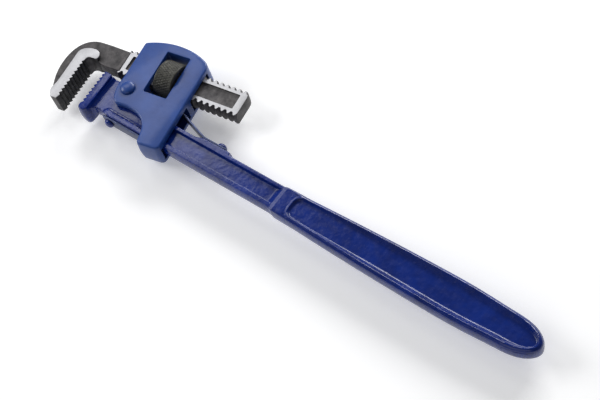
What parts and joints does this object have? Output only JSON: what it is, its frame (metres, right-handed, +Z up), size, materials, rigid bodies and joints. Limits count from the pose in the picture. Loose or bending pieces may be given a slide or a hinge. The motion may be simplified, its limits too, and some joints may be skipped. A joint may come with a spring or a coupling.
{
  "type": "pipe wrench",
  "caption": "Stillson-type pipe wrench: forged handle with a toothed heel jaw, sliding threaded hook jaw, knurled nut in a pivoting housing, and leaf springs.",
  "frame": {"origin": "middle of the bottom of the object's box, as it lies on its side", "axes": "+X along the handle towards the grip's end, +Y across the handle towards the threaded shank, +Z up out of the side it lies on"},
  "size_m": [0.6368, 0.1246, 0.0444],
  "materials": {
    "gloss_paint": "deep blue gloss paint on a rough forging",
    "satin_paint": "mid blue satin paint",
    "forged_steel": "dark forged steel with ground bright pads and borders",
    "black_steel": "oil-blackened steel, knurled",
    "spring_steel": "blue-grey spring steel"
  },
  "bodies": {
    "handle": {"handle": "gloss_paint", "rear_spring": "spring_steel", "rear_spring_rivet": "gloss_paint", "front_spring": "spring_steel", "front_spring_rivet": "gloss_paint"},
    "housing": {"housing": "satin_paint", "pivot_rivet": "satin_paint"},
    "hook_jaw": {"hook_jaw": "forged_steel"},
    "nut": {"adjusting_nut": "black_steel"}
  },
  "joints": [
    {"name": "housing_rock", "type": "hinge", "parent": "handle", "child": "housing", "pos_m": [-0.22165, -0.01136, 0.0222], "axis": [0, 0, 1], "range_deg": [-4, 2], "stiffness_Nm_per_rad": 12, "deforming": ["rear_spring", "front_spring"]},
    {"name": "nut_spin", "type": "hinge", "parent": "housing", "child": "nut", "pos_m": [-0.19215, 0.02544, 0.0222], "axis": [0.991, 0.134, 0], "range_deg": [-1114, 2677]},
    {"name": "jaw_slide", "type": "slide", "parent": "housing", "child": "hook_jaw", "axis": [-0.991, -0.134, 0], "range_m": [-0.0235, 0.0565]}
  ],
  "couplings": [
    {"joint": "nut_spin", "follows": "jaw_slide", "rad_per_m": 826.73}
  ]
}
